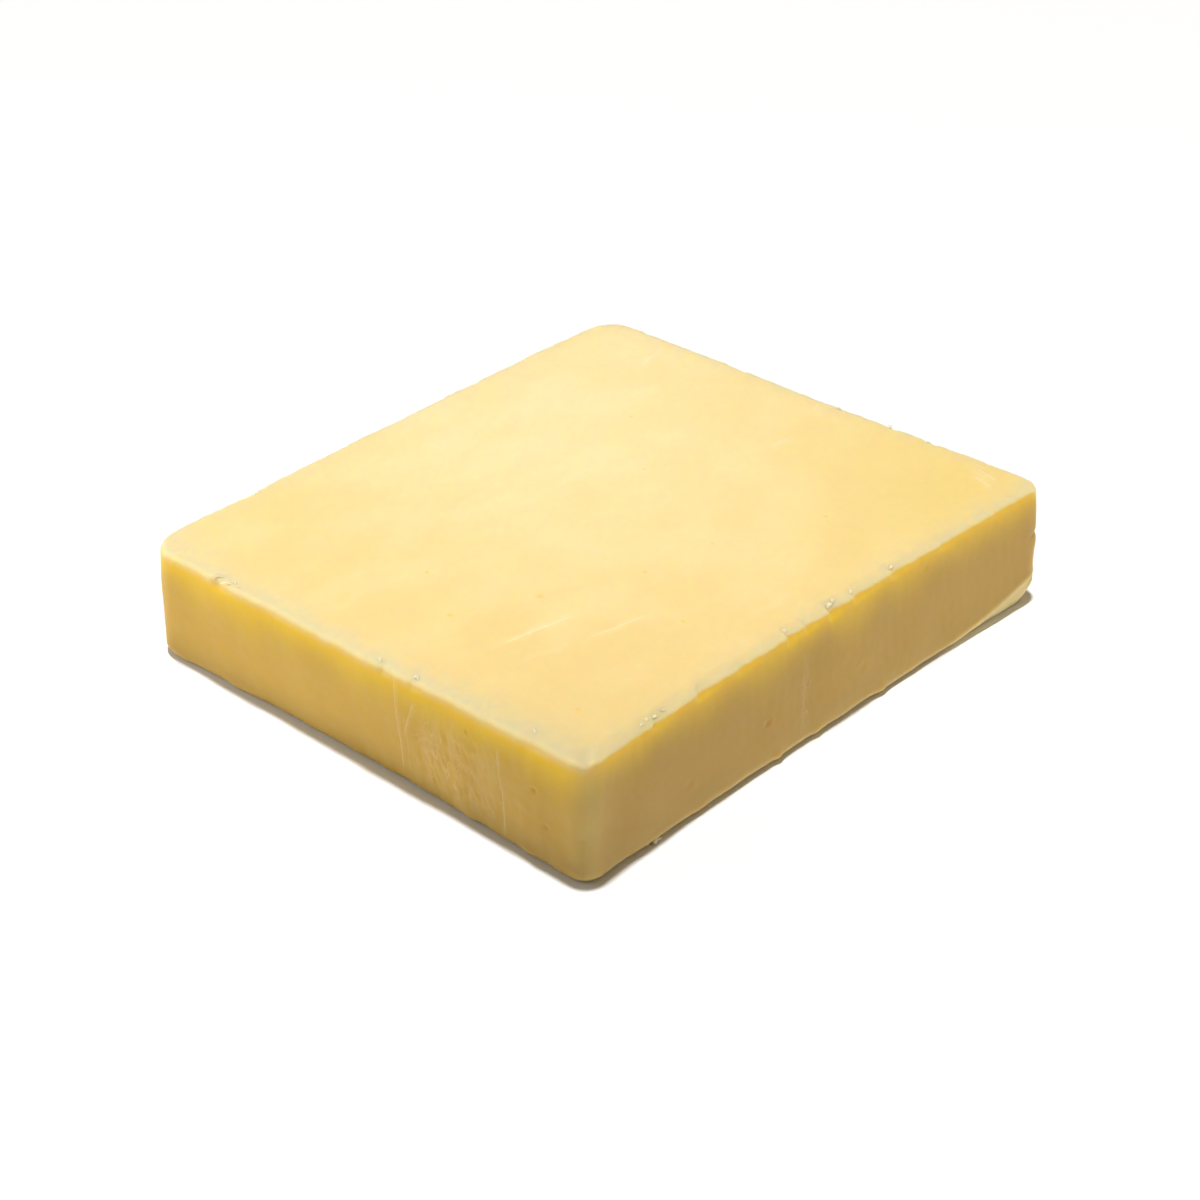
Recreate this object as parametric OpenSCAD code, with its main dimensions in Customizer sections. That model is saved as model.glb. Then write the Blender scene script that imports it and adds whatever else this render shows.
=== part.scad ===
// A vacuum-packed block of cheddar, unwrapped: a low, nearly square slab with rounded upright corners,
// a crisp worn top edge, a softer bottom edge and slightly hollow sides.
// +X runs along the long sides, +Y across, +Z up. The origin is the middle of the underside.
// Four-number lists go round the block: corners are front left, front right, back right, back left,
// and sides are front, right, back, left.

/* [Block] */
// Length of the slab from its left side to its right side
block_length = 132; // [100:1:200]
// Width of the slab from its front side to its back side
block_width = 115; // [80:1:180]
// Height of the top face at the middle of the slab
block_height = 25; // [18:0.5:60]

/* [Corners and edges] */
// Radius of each upright corner
corner_radius = [4.9, 4.5, 6.9, 6.8]; // [3:0.1:14]
// Radius of the crisp edge round the top face
top_edge_radius = 1.2; // [0.6:0.1:3]
// Mean radius of the soft edge round the underside
base_edge_radius = 2.6; // [1.2:0.1:4]
// How much the underside's edge wanders in and out along its way
base_edge_wander = 0.45; // [0:0.05:0.8]
// How much larger the underside's edge gets at the front right corner
corner_bevel = 0.8; // [0:0.1:4]
// How far the corner bevel runs along the front side
corner_bevel_run = 16; // [8:1:40]

/* [Uneven form] */
// Lift of each corner of the top face
corner_lift = [0.9, 0.35, -0.3, -1.0]; // [-2:0.05:2]
// Shift of each top corner along X
top_shift_x = [-0.6, 0.1, -0.3, 1.0]; // [-3:0.1:3]
// Shift of each top corner along Y
top_shift_y = [-0.3, 0.8, 0.4, -0.8]; // [-3:0.1:3]
// Shift of each base corner along X
base_shift_x = [-0.9, 0.7, -0.5, 0.6]; // [-3:0.1:3]
// Shift of each base corner along Y
base_shift_y = [0, -0.5, -0.1, 0.4]; // [-3:0.1:3]
// How far each side's top swells out at its middle, or hollows in when below zero
top_bow = [-2.2, -0.5, 0.1, 0.1]; // [-4:0.1:4]
// How far each side's foot swells out at its middle, or hollows in when below zero
base_bow = [-1.5, 0.1, 0, -1.9]; // [-4:0.1:4]
// How far the sides swell out below the top edge
side_swell = 0.45; // [0:0.05:2]
// Height of the widest part of that swelling, as a share of the block's height
swell_height = 0.72; // [0.4:0.01:0.85]
// Depth of the slow waves pressed into the sides
side_wave = 0.28; // [0:0.02:0.8]
// Depth of the slow waves across the top face
top_wave = 0.16; // [0:0.02:0.6]

/* [Dents and nicks] */
// Depth of the dent across the front right corner
corner_dent = 0.6; // [0:0.1:2.5]
// Height of the middle of that dent, as a share of the block's height
corner_dent_height = 0.6; // [0.3:0.01:0.8]
// Half height of that dent
corner_dent_reach = 1.4; // [1:0.1:5]
// How far the corner swells out below the dent
corner_lump = 0.3; // [0:0.1:1.5]
// Depth of the deepest chip along the top edge of the front and left sides
edge_nick = 0.9; // [0:0.1:1.6]
// Half width of a chip along the edge
edge_nick_reach = 2.6; // [1.5:0.1:6]
// Where the front side is chipped, as shares of the way from its left end
front_nicks = [0.19, 0.33, 0.52, 0.69]; // [0.05:0.01:0.95]
// Where the left side is chipped, as shares of the way from its back end
left_nicks = [0.14, 0.49, 0.57, 0.83]; // [0.05:0.01:0.95]

/* [Hidden] */

cheese = "#e3bd5f";

arc_steps = 4;         // faces on each half of a rounded corner
flat_steps = 26;       // faces along the straight part of a side
base_steps = 4;        // bands round the underside's edge
wall_steps = 9;        // bands up a side
top_steps = 3;         // bands round the top edge
cap_shares = [0.975, 0.92, 0.78, 0.55, 0.28];  // rings across the top face, as shares of its outline
side_steps = flat_steps + 2 * arc_steps;
ring_steps = 4 * side_steps;
trim = 0.5;            // the slab is made this much deeper and cut flat at its underside
bevel_reach = 5;       // how far the corner bevel runs round the corner onto the right side
nick_run = 3;          // a chip reaches this many times its own depth down the side
corner_dent_run = 6;   // half length of the corner's dent, round the slab

half_length = block_length / 2;
half_width = block_width / 2;

// A value given at the four corners, blended across the slab
function blend(c, x, y) =
    let (sx = (1 + x / half_length) / 2, sy = (1 + y / half_width) / 2)
    (1 - sy) * ((1 - sx) * c[0] + sx * c[1]) + sy * (sx * c[2] + (1 - sx) * c[3]);

// A smooth bump of height 1 at zero, gone beyond a few widths
function bump(distance, width) = exp(-pow(distance / width, 2));

// Slow waves round the slab and up its sides, between -1 and 1; angles in degrees
function round_wave(turn, up) =
    0.5 * sin(3 * turn + 40 + 110 * up) + 0.3 * sin(7 * turn + 200 - 160 * up) + 0.2 * sin(13 * turn + 75 + 220 * up);

function face_wave(x, y) =
    0.5 * sin(2.6 * x + 1.4 * y + 20) + 0.3 * sin(4.1 * y - 1.9 * x + 130) + 0.2 * sin(6.3 * x + 5.2 * y + 260);

// Place along one side: [distance from the side's middle, distance beyond the flat of the side, turn of the skin]
function side_place(k, i) =
    let (
        half = k % 2 == 0 ? half_length : half_width,
        start_r = corner_radius[k],
        end_r = corner_radius[(k + 1) % 4],
        start_turn = 45 * (1 - i / arc_steps),
        end_turn = 45 * (i - arc_steps - flat_steps) / arc_steps,
        share = (i - arc_steps) / flat_steps
    )
    i < arc_steps ? [-half + start_r - start_r * sin(start_turn), -start_r * (1 - cos(start_turn)), -start_turn]
    : i > arc_steps + flat_steps ? [half - end_r + end_r * sin(end_turn), -end_r * (1 - cos(end_turn)), end_turn]
    : [-half + start_r + share * (2 * half - start_r - end_r), 0, 0];

// How far a chip cuts into the top edge at a place along a side
function nick_depth(k, along) =
    let (
        spots = k == 0 ? front_nicks : k == 3 ? left_nicks : [],
        half = k == 0 ? half_length : half_width,
        cuts = [for (n = [0 : 1 : len(spots) - 1])
            (0.55 + 0.45 * cos(137 * n)) * bump(along - half * (2 * spots[n] - 1), edge_nick_reach)]
    )
    len(cuts) == 0 ? 0 : edge_nick * max(cuts);

// Distance round the slab from the front right corner: below zero along the front, above it up the right side
function past_corner(k, along) =
    k == 0 ? along - half_length : k == 1 ? along + half_width : block_length;

// Radius of the underside's edge, larger towards the front right corner
function base_radius(k, along, turn) =
    let (
        from_corner = past_corner(k, along),
        reach = from_corner < 0 ? corner_bevel_run : bevel_reach
    )
    base_edge_radius + base_edge_wander * round_wave(turn, 0) + corner_bevel * bump(from_corner, reach);

function top_height(x, y) = block_height + blend(corner_lift, x, y) + top_wave * face_wave(x, y);

// A point on side k at step i: inset draws it towards the middle, z is its height
function skin_point(k, i, inset, z, cut = 0) =
    let (
        place = side_place(k, i),
        facing = -90 + 90 * k,
        out = k % 2 == 0 ? half_width : half_length,
        turn = 90 * k + 90 * i / side_steps,
        up = min(1, max(0, z / block_height)),
        hollow = 1 - pow(2 * i / side_steps - 1, 2),
        bow = hollow * ((1 - up) * base_bow[k] + up * top_bow[k]),
        swell = side_swell * (bump(up - swell_height, 0.3) - 1),
        wave = side_wave * round_wave(turn, up),
        above_dent = z - corner_dent_height * block_height,
        dent = corner_dent * bump(above_dent, corner_dent_reach)
            - corner_lump * bump(above_dent + 3 * corner_dent_reach, 1.5 * corner_dent_reach),
        push = bow + swell + wave - dent * bump(past_corner(k, place[0]), corner_dent_run) - cut,
        skin_turn = facing + place[2],
        x = place[0] * -sin(facing) + (out + place[1]) * cos(facing) + push * cos(skin_turn),
        y = place[0] * cos(facing) + (out + place[1]) * sin(facing) + push * sin(skin_turn),
        xs = x * (1 - inset / half_length),
        ys = y * (1 - inset / half_width)
    )
    [
        xs + (1 - up) * blend(base_shift_x, xs, ys) + up * blend(top_shift_x, xs, ys),
        ys + (1 - up) * blend(base_shift_y, xs, ys) + up * blend(top_shift_y, xs, ys),
        z
    ];

function base_ring(a) = [
    for (k = [0 : 3], i = [0 : side_steps - 1])
        let (r = base_radius(k, side_place(k, i)[0], 90 * k + 90 * i / side_steps))
        skin_point(k, i, r * (1 - sin(a)), r * (1 - cos(a)))
];

function foot_ring() = [for (p = base_ring(0)) [p[0], p[1], -trim]];

// The top edge at one place: its middle height and how far a chip cuts in there
function edge_spot(k, i) =
    let (p = skin_point(k, i, 0, block_height))
    [top_height(p[0], p[1]), nick_depth(k, side_place(k, i)[0])];

function wall_ring(share) = [
    for (k = [0 : 3], i = [0 : side_steps - 1])
        let (
            edge = edge_spot(k, i),
            low = base_radius(k, side_place(k, i)[0], 90 * k + 90 * i / side_steps),
            high = edge[0] - top_edge_radius,
            z = low + share * (high - low),
            cut = edge[1] * bump(high - z, nick_run * max(edge[1], 0.1))
        )
        skin_point(k, i, 0, z, cut)
];

function top_ring(a) = [
    for (k = [0 : 3], i = [0 : side_steps - 1])
        let (edge = edge_spot(k, i), high = edge[0] - top_edge_radius)
        skin_point(k, i, top_edge_radius * (1 - cos(a)), high + (top_edge_radius - 0.35 * edge[1]) * sin(a), edge[1])
];

function cap_ring(share) = [
    for (p = top_ring(90))
        let (x = p[0] * share, y = p[1] * share, near = pow(share, 24))
        [x, y, (1 - near) * top_height(x, y) + near * p[2]]
];

module cheddar_block() {
    rings = [
        foot_ring(),
        for (j = [0 : base_steps]) base_ring(90 * j / base_steps),
        for (j = [1 : wall_steps]) wall_ring(j / wall_steps),
        for (j = [1 : top_steps]) top_ring(90 * j / top_steps),
        for (s = cap_shares) cap_ring(s)
    ];
    last = len(rings) - 1;
    points = [for (r = rings) each r, [0, 0, top_height(0, 0)]];
    middle = len(points) - 1;
    bands = [
        for (j = [0 : last - 1], i = [0 : ring_steps - 1])
            let (a = j * ring_steps + i, b = j * ring_steps + (i + 1) % ring_steps)
            each [[a, b + ring_steps, b], [a, a + ring_steps, b + ring_steps]]
    ];
    lid = [for (i = [0 : ring_steps - 1]) [last * ring_steps + i, middle, last * ring_steps + (i + 1) % ring_steps]];
    underside = [[for (i = [0 : ring_steps - 1]) i]];
    color(cheese)
        intersection() {
            polyhedron(points = points, faces = concat(underside, bands, lid), convexity = 4);
            translate([0, 0, block_height])
                cube([2 * block_length, 2 * block_width, 2 * block_height], center = true);
        }
}

cheddar_block();
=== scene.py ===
import math
import bpy
import numpy as np
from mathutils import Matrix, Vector


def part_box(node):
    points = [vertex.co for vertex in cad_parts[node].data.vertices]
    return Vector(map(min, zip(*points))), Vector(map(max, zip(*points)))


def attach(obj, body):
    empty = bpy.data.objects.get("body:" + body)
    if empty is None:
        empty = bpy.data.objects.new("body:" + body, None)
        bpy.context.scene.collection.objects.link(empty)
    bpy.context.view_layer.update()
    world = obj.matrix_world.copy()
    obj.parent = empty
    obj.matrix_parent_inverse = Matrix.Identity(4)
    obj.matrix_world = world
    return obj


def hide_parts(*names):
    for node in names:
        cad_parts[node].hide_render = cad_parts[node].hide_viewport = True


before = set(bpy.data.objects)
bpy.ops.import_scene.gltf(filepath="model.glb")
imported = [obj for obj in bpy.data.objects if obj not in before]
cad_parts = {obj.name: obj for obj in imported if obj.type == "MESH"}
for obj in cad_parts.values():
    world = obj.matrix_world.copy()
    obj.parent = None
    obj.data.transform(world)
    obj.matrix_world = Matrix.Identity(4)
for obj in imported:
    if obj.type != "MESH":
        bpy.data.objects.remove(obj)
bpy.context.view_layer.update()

# Lengths below are millimetres, turned into metres where a mesh is made
mm = 0.001
blockLow, blockHigh = [np.array(corner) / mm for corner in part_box("cheddar_block")]
print("frame loaded, block of", [round(float(d), 1) for d in blockHigh - blockLow], "mm")

# The slab: its rounded outline, its edges and how uneven it is.
# Corners run front left, front right, back right, back left; sides run front, right, back, left.
# A place round the slab is side + share of the way along it, so 0 is the middle of the front left corner.
slab = {
    "overBox": (1.15, -0.11, 0.92),    # how far the bows and lifted corners reach past the plain slab
    "cornerRadius": (4.9, 4.5, 6.9, 6.8),
    "baseEdgeRadius": 2.2,
    "baseEdgeWander": 0.45,
    "cornerBevel": (-0.5, 1.8),        # how much further in and up that edge reaches, front right
    "bevelRun": (16.0, 6.0),           # along the front side and along the right side
    "bevelFlat": 0.8,                  # 0 keeps the bevel round, 1 makes it a flat facet
    "cornerLift": (0.9, 0.35, -0.3, -1.0),
    "topShiftX": (-0.6, 0.1, -0.3, 1.0),
    "topShiftY": (-0.3, 0.8, 0.4, -0.8),
    "baseShiftX": (-0.9, 0.7, -0.5, 0.6),
    "baseShiftY": (0.0, -0.5, -0.1, 0.4),
    "topBow": (-2.2, -0.5, 0.1, 0.1),
    "baseBow": (-1.5, 0.1, 0.0, -1.9),
    "sideSwell": 0.45,
    "swellHeight": 0.72,
    "swellReach": 0.3,
    "sideWave": 0.28,
    "topWave": 0.16,
    "dent": (0.6, 0.5, 0.5, 0.2, 2.2, 1.3, 3.2),   # level, depth, tall; lump, drop, tall; run
    "evenOut": (2.0, 3.5),             # the outline and the slow waves are averaged over this
    "arcShare": 4 / 34,                # share of a side that each half corner takes
    "columns": (204, 176),             # columns of faces on the long and on the short sides
    "arcColumns": 11,                  # of them, on each half of a rounded corner
    "closer": {                        # side: place, half width and how much closer the columns stand
        0: ((-6, 5, 0.9), (52, 14, 0.4), (0, 20, 0.3)),
        1: (),
        2: (),
        3: ((25, 14, 1.7), (46, 6, 0.5)),
    },
    "rings": {"base": 9, "wall": 46, "lip": 7, "rim": 11, "inner": 5},
    "lowestMark": 0.2,                 # below this the foot has the marks of this height
    "crumbRing": 2,                    # crumbs lie against this ring of the foot
}

# The pale rim round the top face: its width, and its fall towards the side, at places round the slab
rim = {
    "width": ((0, 4.4), (0.06, 3.5), (0.2, 2.9), (0.55, 2.7), (0.9, 2.9), (1.0, 2.6), (1.1, 1.2),
              (2.0, 1.6), (2.1, 1.1), (2.9, 1.3), (3.0, 3.9), (3.1, 3.9), (3.4, 3.0), (3.65, 3.5),
              (3.88, 4.5), (4.0, 4.4)),
    "fall": ((0, 0.8), (0.08, 0.6), (0.5, 0.5), (0.9, 0.5), (1.0, 0.6), (1.1, 0.3), (2.9, 0.3),
             (3.0, 0.6), (3.1, 0.45), (3.6, 0.35), (3.9, 0.35), (4.0, 0.8)),
    "lipRadius": (1.1, 0.6),           # on the other sides and on the front
    "wander": 0.08,                    # share by which the width wanders
    "ragged": 0.07,                    # depth of the fine ragged line
    "fade": 4.2,                       # the rim blends into the top face over this
    "teeth": (                         # side, place along it, run, depth: steps in at once and runs out
        (0, -47.5, 6.0, 0.45), (0, -35.5, 9.0, 0.75), (0, -24.5, 8.0, 0.5), (0, -10.5, 5.5, 0.95),
        (0, -5.5, 6.0, 0.7), (0, 1.5, 5.0, 1.05), (0, 8.5, 8.0, 0.65), (0, 19.5, 9.0, 0.5),
        (0, 34.0, 10.0, 0.4), (0, 50.0, 6.0, 0.35),
        (3, -38.0, 5.5, 0.95), (3, -22.0, 8.0, 0.2), (3, 7.0, 4.0, 0.35), (3, 14.5, 5.0, 0.4),
        (3, 33.0, 9.0, 0.25), (3, 44.0, 5.0, 0.25),
        (1, -32.0, 5.0, 0.45), (1, -21.8, 4.0, 0.4), (1, 18.0, 6.0, 0.25),
        (2, 38.0, 7.0, 0.4), (2, -25.0, 5.0, 0.2),
    ),
}

# Where the painted glow under the rim, the low colour (partly painted shade), the painted highlight up the
# front left corner and the painted shade of the sides lie
bands = {
    "gold": (4.3, 0.7, 2.0),           # painted glow under the rim: depth below it, how much more on the left side, least depth
    "low": (0.5, 9.0),                 # the low colour, greener and partly painted shade, fades out between these heights
    "corner": (0.3, 3.2),              # place and half width of the painted highlight up the front left corner
    "nearShade": (0.5, 45.0, 0.3),     # strength there, half width, share lost on the front side
    "nearFootShade": (0.25, 16.0, 4.0, 14.0, 0.6),   # the same with two heights that it fades between
    "leftFootShade": (0.35, 3.0),      # strength and height along the left side's foot
    "lowShade": 0.25,
    "paintedGlowKeeps": 0.75,                 # share of the painted shade that the painted glow under the rim keeps off
    "topShade": (0.26, -66.0, -56.0, 30.0),          # strength on the top face, middle, half width
}

# Marks on the sides, placed by side, place along it and height
marks = {
    "creases": (                       # side, top place and height, foot place and height, half width, rise
        (3, 11.3, 24.6, 10.9, 2.4, 0.24, 0.08),
        (3, 36.3, 20.4, 37.1, 1.8, 0.24, 0.08),
        (3, 15.9, 20.4, 12.4, 11.9, 0.26, 0.10),
    ),
    "arcs": (                          # bowed folds: side, place, height, radius, start, sweep, rise
        (3, 19.0, 9.4, 4.2, 55, 95, 0.05), (3, 20.6, 7.2, 4.6, 60, 80, 0.03),
    ),
    "film": (                          # side, place, height, half width, half height
        (3, 25.0, 11.0, 12.0, 9.0),
        (0, -6.0, 10.5, 1.5, 8.0),
    ),
    "pits": (                          # side, place, height, half width, depth
        (3, 28.7, 20.3, 0.6, 0.24), (3, 45.1, 16.0, 0.7, 0.30), (3, 47.4, 9.2, 0.6, 0.26),
        (3, 19.0, 5.0, 0.6, 0.15), (0, -16.5, 9.9, 0.7, 0.22), (0, 28.8, 21.6, 0.7, 0.2),
        (0, -38.0, 8.0, 0.8, 0.15), (0, 10.5, 9.0, 1.0, 0.14), (3, -30.0, 12.0, 0.8, 0.12),
        (3, 33.0, 4.6, 0.5, -0.16), (3, 30.0, 6.8, 0.5, -0.12), (0, -30.0, 14.0, 0.9, 0.12),
        (1, 12.0, 14.0, 0.9, 0.2), (2, -20.0, 9.0, 0.9, 0.2), (2, 31.0, 15.0, 0.7, 0.18),
    ),
    "footLumps": (                     # side, place, half width, height: small swellings along the foot
        (0, -13.4, 1.0, 0.5), (0, -2.3, 1.2, 0.4), (0, 16.6, 1.6, 0.5), (0, -35.0, 2.0, 0.25),
        (3, -34.0, 2.5, 0.35), (3, -2.0, 2.0, 0.3), (3, 28.0, 1.6, 0.35), (3, 43.0, 2.2, 0.3),
    ),
    "bevelRidge": (35.0, 1.2, 64.5, 6.6),   # from place, height to place, height on the front side
}

# Smears and hollows on the top face: place, direction, half length, half width, height
smears = (
    (-39.0, -20.5, -10, 9.0, 0.9, 0.10), (-28.5, -30.7, -9, 7.5, 0.8, 0.08),
    (-44.0, -27.0, -12, 5.0, 0.7, 0.05),
    (56.5, 37.0, 13, 6.5, 1.0, 0.08), (3.5, 13.2, -3, 11.5, 0.9, 0.06), (-12.0, 22.0, 4, 8.0, 0.8, 0.05),
    (-20.0, 36.0, 4, 12.0, 1.5, -0.05), (30.0, -15.0, -14, 10.0, 1.3, -0.05),
    (44.3, -7.6, 12, 2.4, 0.8, 0.14), (61.0, -4.5, 20, 3.0, 0.8, 0.12), (59.4, -9.2, 15, 1.4, 0.7, 0.10),
    (60.0, -45.5, 72, 3.6, 0.7, 0.10), (57.4, -47.5, 68, 3.4, 0.7, 0.09), (-52.0, 12.0, 6, 6.0, 1.0, 0.05),
    (22.0, 40.0, -8, 9.0, 1.0, 0.04), (8.0, -36.0, -6, 8.0, 0.9, 0.04), (-5.0, -46.0, -4, 5.0, 0.8, 0.05),
)


def spread(corners, x, y, half):
    # a value given at four corners, blended across the slab in straight lines
    across = (1 + x / half[0]) / 2
    back = (1 + y / half[1]) / 2
    front = (1 - across) * corners[0] + across * corners[1]
    rear = across * corners[2] + (1 - across) * corners[3]
    return (1 - back) * front + back * rear


def bump(distance, width):
    # a bell of height 1 that fades within a few widths
    return np.exp(-np.square(distance / width))


def ramp(value, low, high):
    # 0 below low, 1 above high, and a smooth S between
    t = np.clip((value - low) / (high - low), 0, 1)
    return t * t * (3 - 2 * t)


def softNoise(points, wavelength, seed, waves=26):
    # the sum of plane waves in random directions, all near one wavelength, mostly between -1 and 1
    rng = np.random.default_rng(seed)
    aim = rng.normal(size=(waves, points.shape[-1]))
    aim /= np.linalg.norm(aim, axis=1, keepdims=True)
    pace = 2 * math.pi / (wavelength * rng.uniform(0.7, 1.5, waves))
    start = rng.uniform(0, 2 * math.pi, waves)
    total = np.zeros(points.shape[:-1])
    for direction, step, phase in zip(aim, pace, start):
        total += np.sin(points @ (direction * step) + phase)
    return total / math.sqrt(waves)


def roundWave(turn, up):
    # three slow waves round the slab, sliding sideways as they climb
    a = np.radians(turn)
    return (0.5 * np.sin(3 * a + 0.70 + 1.92 * up) + 0.3 * np.sin(7 * a + 3.49 - 2.79 * up)
            + 0.2 * np.sin(13 * a + 1.31 + 3.84 * up))


def faceWave(x, y):
    # three slow waves crossing the top face
    first = np.sin(np.radians(2.6 * x + 1.4 * y + 20))
    second = np.sin(np.radians(4.1 * y - 1.9 * x + 130))
    third = np.sin(np.radians(6.3 * x + 5.2 * y + 260))
    return 0.5 * first + 0.3 * second + 0.2 * third


def aroundSlab(knots, place):
    # straight lines between values given at places round the slab, rounded off over a few columns
    at, value = np.array(knots).T
    line = np.interp(place, at, value)
    wide = 15
    wrapped = np.concatenate([line[-wide:], line, line[:wide]])
    bell = np.hanning(wide + 2)[1:-1]
    return np.convolve(wrapped, bell / bell.sum(), "same")[wide:-wide]


def addMesh(name, points, faces, attributes=None):
    # points in millimetres; faces as arrays of point numbers, one array for each number of corners
    mesh = bpy.data.meshes.new(name)
    mesh.vertices.add(len(points))
    mesh.vertices.foreach_set("co", (np.asarray(points) * mm).astype(np.float32).ravel())
    corners = np.concatenate([np.asarray(f).ravel() for f in faces])
    sizes = np.concatenate([np.full(len(f), np.asarray(f).shape[1]) for f in faces])
    mesh.loops.add(len(corners))
    mesh.loops.foreach_set("vertex_index", corners.astype(np.int32))
    mesh.polygons.add(len(sizes))
    mesh.polygons.foreach_set("loop_start", np.concatenate([[0], np.cumsum(sizes)[:-1]]).astype(np.int32))
    mesh.update(calc_edges=True)
    mesh.polygons.foreach_set("use_smooth", np.ones(len(sizes), bool))
    for key, values in (attributes or {}).items():
        layer = mesh.attributes.new(key, "FLOAT", "POINT")
        layer.data.foreach_set("value", np.asarray(values, np.float32).ravel())
    mesh.validate()
    piece = bpy.data.objects.new(name, mesh)
    bpy.context.scene.collection.objects.link(piece)
    return piece


def outlineColumns(half):
    # one rounded rectangle, side after side: half a corner's arc, a straight run, half the next arc.
    # Each column has its side, its place along it, how far the arc draws it in, the turn of the skin
    # there and its share of the way along the side. Along the straight run the columns are spaced so that
    # they stand closer at the film creases, at the middle of the front and at the bevelled corner.
    arc, arcShare = slab["arcColumns"], slab["arcShare"]
    sides, alongs, beyonds, turns, shares = [], [], [], [], []
    for side in range(4):
        count, reach = slab["columns"][side % 2], half[side % 2]
        first, second = slab["cornerRadius"][side], slab["cornerRadius"][(side + 1) % 4]
        fine = np.linspace(-reach + first, reach - second, 2000)
        weight = 1 + 0 * fine
        for place, width, gain in slab["closer"][side]:
            weight = weight + gain * bump(fine - place, width)
        travelled = np.concatenate([[0], np.cumsum((weight[1:] + weight[:-1]) / 2)])
        straight = np.interp(np.linspace(0, travelled[-1], count - 2 * arc + 1), travelled, fine)
        step = np.arange(arc) / arc
        opening, closing = 45 * (1 - step), 45 * step[1:]
        run = (straight - fine[0]) / (fine[-1] - fine[0])
        openSin, closeSin = np.sin(np.radians(opening)), np.sin(np.radians(closing))
        openCos, closeCos = np.cos(np.radians(opening)), np.cos(np.radians(closing))
        sides.append(np.full(count, side))
        alongs += [-reach + first * (1 - openSin), straight, reach - second * (1 - closeSin)]
        beyonds += [-first * (1 - openCos), 0 * straight, -second * (1 - closeCos)]
        turns += [-opening, 0 * straight, closing]
        shares += [arcShare * step, arcShare + (1 - 2 * arcShare) * run, 1 - arcShare * (1 - step[1:])]
    return [np.concatenate(values) for values in (sides, alongs, beyonds, turns, shares)]


def edgeCut(side, along, outline):
    # saw-tooth chips, plus a fine ragged line
    cut = 0 * along
    for where, place, run, depth in rim["teeth"]:
        past = along - place
        tooth = ramp(past, -0.35, 0.25) * np.clip(1 - past / run, 0, 1) ** 1.3
        cut = np.maximum(cut, (side == where) * depth * tooth)
    ragged = 0.6 * softNoise(outline, 2.4, 11) + 0.6 * softNoise(outline, 5.5, 12)
    near = np.where((side == 0) | (side == 3), 1.0, 0.7)
    return cut + rim["ragged"] * near * (ragged + 1)


def pressedMarks(side, along, z):
    # creases, bowed folds, film wrinkles, pits, foot lumps and soft upright bands by the front left corner:
    # how far each point moves out, and the crease and film masks
    out, crease, film = 0 * z, 0 * z, 0 * z
    for where, topPlace, topLevel, footPlace, footLevel, width, height in marks["creases"]:
        share = np.clip((z - footLevel) / (topLevel - footLevel), 0, 1)
        line = footPlace + (topPlace - footPlace) * share
        aboveFoot = ramp(z, footLevel - 0.8, footLevel + 0.8)
        belowTop = 1 - ramp(z, topLevel - 0.6, topLevel + 0.6)
        ridge = (side == where) * aboveFoot * belowTop * bump(along - line, width)
        out = out + height * ridge * (0.75 + 0.25 * np.sin(3.3 * z + footPlace))
        crease = np.maximum(crease, 0.25 * ridge)
    for where, place, level, radius, start, sweep, height in marks["arcs"]:
        angle = np.degrees(np.arctan2(z - level, along - place)) % 360
        inside = ramp(angle, start - 8, start + 8) * (1 - ramp(angle, start + sweep - 8, start + sweep + 8))
        ridge = (side == where) * inside * bump(np.hypot(along - place, z - level) - radius, 0.28)
        out = out + height * ridge
        crease = np.maximum(crease, 0.2 * ridge)
    for where, place, level, wide, tall in marks["film"]:
        patch = np.exp(-np.abs((along - place) / wide) ** 4 - np.abs((z - level) / tall) ** 4)
        film = np.maximum(film, (side == where) * patch)
    upright = np.stack([along + 0.35 * z, 0.32 * z], axis=-1)
    slant = np.stack([0.55 * along - 0.8 * z, 0.2 * along + 0.25 * z], axis=-1)
    wrinkles = 0.075 * softNoise(upright, 1.4, 21) + 0.07 * softNoise(slant, 1.8, 22)
    beads = 0.10 * softNoise(np.stack([1.2 * along, z], axis=-1), 1.1, 23)
    out = out + film * np.where(side == 0, beads, wrinkles)
    for where, place, level, wide, depth in marks["pits"]:
        away = np.hypot(along - place, z - level)
        bowl, brim = bump(away, wide), bump(away - 1.5 * wide, 0.5 * wide)
        out = out - (side == where) * depth * (bowl - 0.45 * brim)
    for where, place, wide, height in marks["footLumps"]:
        out = out + (side == where) * height * bump(along - place, wide) * bump(z - 1.2, 1.8)
    ribs = (side == 3) * ramp(along, 37, 42) * np.sin(1.55 * along + 0.1 * z)
    return out + 0.015 * ribs, np.maximum(crease, 0.03 * ribs), film


def topHeight(x, y, half):
    # the top face: the slab's height, its corners' lift and slow waves
    return slab["height"] + spread(slab["cornerLift"], x, y, half) + slab["topWave"] * faceWave(x, y)


def topRelief(x, y):
    # low smears and hollows, each a long soft bell, over a slight unevenness drawn out along the slab
    relief = 0.030 * softNoise(np.stack([0.6 * x, 1.5 * y], axis=-1), 9.0, 31)
    relief = relief + 0.012 * softNoise(np.stack([0.5 * x, 1.4 * y], axis=-1), 3.2, 32)
    pale = 0 * x
    for cx, cy, turn, long, wide, height in smears:
        c, s = math.cos(math.radians(turn)), math.sin(math.radians(turn))
        along, across = (x - cx) * c + (y - cy) * s, (y - cy) * c - (x - cx) * s
        across = across + 0.4 * np.sin(along * 0.9 + cx)
        shape = np.exp(-np.abs(along / long) ** 3) * bump(across, wide)
        relief = relief + height * shape
        pale = np.maximum(pale, shape * min(1, max(0, height) / 0.1))
    return relief, pale


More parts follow.
